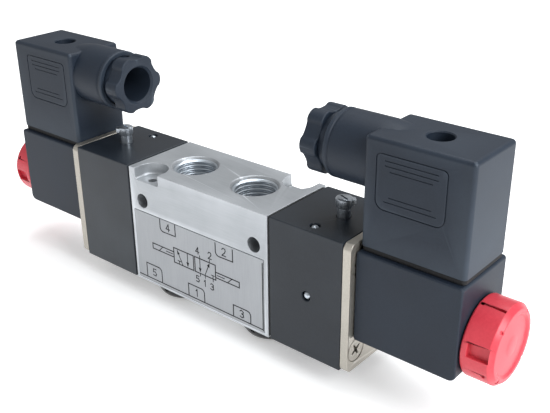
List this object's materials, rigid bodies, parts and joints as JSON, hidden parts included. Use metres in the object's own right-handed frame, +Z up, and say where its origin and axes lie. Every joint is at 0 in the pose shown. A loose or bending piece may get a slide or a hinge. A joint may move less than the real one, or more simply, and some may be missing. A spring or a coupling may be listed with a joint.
{
  "type": "solenoid directional valve",
  "caption": "Slim in-line pneumatic directional valve with a metal body, black end blocks, coils with plug connectors and red end nuts.",
  "frame": {"origin": "middle of the valve's length and width, at the lowest point of the exhaust silencers", "axes": "+X along the valve towards the right-hand coil, +Y to the back, +Z up through ports 4 and 2"},
  "size_m": [0.1874, 0.026, 0.0748],
  "materials": {
    "body_aluminium": "satin, milled",
    "label_metal": "satin, printed",
    "spool_aluminium": "ground",
    "seal_rubber": "matte",
    "black_plastic": "fine texture",
    "block_plastic": "satin",
    "brass": "turned",
    "steel": "bright",
    "nickel_plate": "nickel, satin",
    "red_plastic": "gloss"
  },
  "bodies": {
    "valve": {"valve_body": "body_aluminium", "name_label": "label_metal", "exhaust_silencer_left": "black_plastic", "exhaust_silencer_right": "black_plastic", "pilot_gasket_left": "seal_rubber", "pilot_block_left": "block_plastic", "override_spring_left": "steel", "top_ball_plug_left": "steel", "front_ball_plug_left": "steel", "flange_plate_left": "nickel_plate", "plate_screw_lower_front_left": "steel", "plate_screw_upper_front_left": "steel", "plate_screw_lower_back_left": "steel", "plate_screw_upper_back_left": "steel", "guide_tube_left": "steel", "plunger_spring_left": "steel", "pilot_gasket_right": "seal_rubber", "pilot_block_right": "block_plastic", "override_spring_right": "steel", "top_ball_plug_right": "steel", "front_ball_plug_right": "steel", "flange_plate_right": "nickel_plate", "plate_screw_lower_front_right": "steel", "plate_screw_upper_front_right": "steel", "plate_screw_lower_back_right": "steel", "plate_screw_upper_back_right": "steel", "guide_tube_right": "steel", "plunger_spring_right": "steel"},
    "spool": {"spool": "spool_aluminium", "spool_seal_1": "seal_rubber", "spool_seal_2": "seal_rubber", "spool_seal_3": "seal_rubber", "spool_seal_4": "seal_rubber"},
    "piston_left": {"piston_left": "brass", "piston_seal_left": "seal_rubber"},
    "plunger_left": {"plunger_left": "steel"},
    "override_slide_left": {"override_seal_left": "seal_rubber"},
    "override_pin_left": {"override_pin_left": "steel"},
    "coil_left": {"coil_left": "black_plastic", "connector_gasket_left": "seal_rubber", "terminal_insert_left": "black_plastic", "connector_housing_left": "black_plastic", "connector_screw_left": "steel", "gland_seal_left": "seal_rubber"},
    "gland_nut_left": {"gland_nut_left": "black_plastic"},
    "coil_nut_left": {"coil_nut_left": "red_plastic"},
    "piston_right": {"piston_right": "brass", "piston_seal_right": "seal_rubber"},
    "plunger_right": {"plunger_right": "steel"},
    "override_slide_right": {"override_seal_right": "seal_rubber"},
    "override_pin_right": {"override_pin_right": "steel"},
    "coil_right": {"coil_right": "black_plastic", "connector_gasket_right": "seal_rubber", "terminal_insert_right": "black_plastic", "connector_housing_right": "black_plastic", "connector_screw_right": "steel", "gland_seal_right": "seal_rubber"},
    "gland_nut_right": {"gland_nut_right": "black_plastic"},
    "coil_nut_right": {"coil_nut_right": "red_plastic"}
  },
  "joints": [
    {"name": "spool_shift", "type": "slide", "parent": "valve", "child": "spool", "axis": [1, 0, 0], "range_m": [0, 0.005]},
    {"name": "piston_left_shift", "type": "slide", "parent": "valve", "child": "piston_left", "axis": [1, 0, 0], "range_m": [0, 0.005]},
    {"name": "plunger_left_lift", "type": "slide", "parent": "valve", "child": "plunger_left", "axis": [-1, 0, 0], "range_m": [0, 0.0016], "stiffness_N_per_m": 300, "springref_m": -0.002, "deforming": ["plunger_spring_left"]},
    {"name": "override_left_push", "type": "slide", "parent": "valve", "child": "override_slide_left", "axis": [0, 0, -1], "range_m": [0, 0.0016], "stiffness_N_per_m": 400, "springref_m": -0.002, "deforming": ["override_spring_left"]},
    {"name": "override_left_turn", "type": "hinge", "parent": "override_slide_left", "child": "override_pin_left", "pos_m": [-0.0432, 0, 0.0449], "axis": [0, 0, 1], "range_deg": [0, 90]},
    {"name": "coil_left_turn", "type": "hinge", "parent": "valve", "child": "coil_left", "pos_m": [-0.07, 0, 0.02565], "axis": [1, 0, 0], "range_deg": [-180, 180]},
    {"name": "gland_nut_left_turn", "type": "hinge", "parent": "coil_left", "child": "gland_nut_left", "pos_m": [-0.042, 0, 0.0656], "axis": [1, 0, 0], "range_deg": [0, 360]},
    {"name": "coil_nut_left_turn", "type": "hinge", "parent": "valve", "child": "coil_nut_left", "pos_m": [-0.089, 0, 0.02565], "axis": [-1, 0, 0], "range_deg": [0, 360]},
    {"name": "piston_right_shift", "type": "slide", "parent": "valve", "child": "piston_right", "axis": [1, 0, 0], "range_m": [0, 0.005]},
    {"name": "plunger_right_lift", "type": "slide", "parent": "valve", "child": "plunger_right", "axis": [1, 0, 0], "range_m": [0, 0.0016], "stiffness_N_per_m": 300, "springref_m": -0.002, "deforming": ["plunger_spring_right"]},
    {"name": "override_right_push", "type": "slide", "parent": "valve", "child": "override_slide_right", "axis": [0, 0, -1], "range_m": [0, 0.0016], "stiffness_N_per_m": 400, "springref_m": -0.002, "deforming": ["override_spring_right"]},
    {"name": "override_right_turn", "type": "hinge", "parent": "override_slide_right", "child": "override_pin_right", "pos_m": [0.0432, 0, 0.0449], "axis": [0, 0, 1], "range_deg": [0, 90]},
    {"name": "coil_right_turn", "type": "hinge", "parent": "valve", "child": "coil_right", "pos_m": [0.07, 0, 0.02565], "axis": [1, 0, 0], "range_deg": [-180, 180]},
    {"name": "gland_nut_right_turn", "type": "hinge", "parent": "coil_right", "child": "gland_nut_right", "pos_m": [0.042, 0, 0.0656], "axis": [-1, 0, 0], "range_deg": [0, 360]},
    {"name": "coil_nut_right_turn", "type": "hinge", "parent": "valve", "child": "coil_nut_right", "pos_m": [0.089, 0, 0.02565], "axis": [1, 0, 0], "range_deg": [0, 360]}
  ],
  "couplings": [
    {"joint": "piston_left_shift", "follows": "spool_shift", "ratio": 1},
    {"joint": "piston_right_shift", "follows": "spool_shift", "ratio": 1}
  ]
}
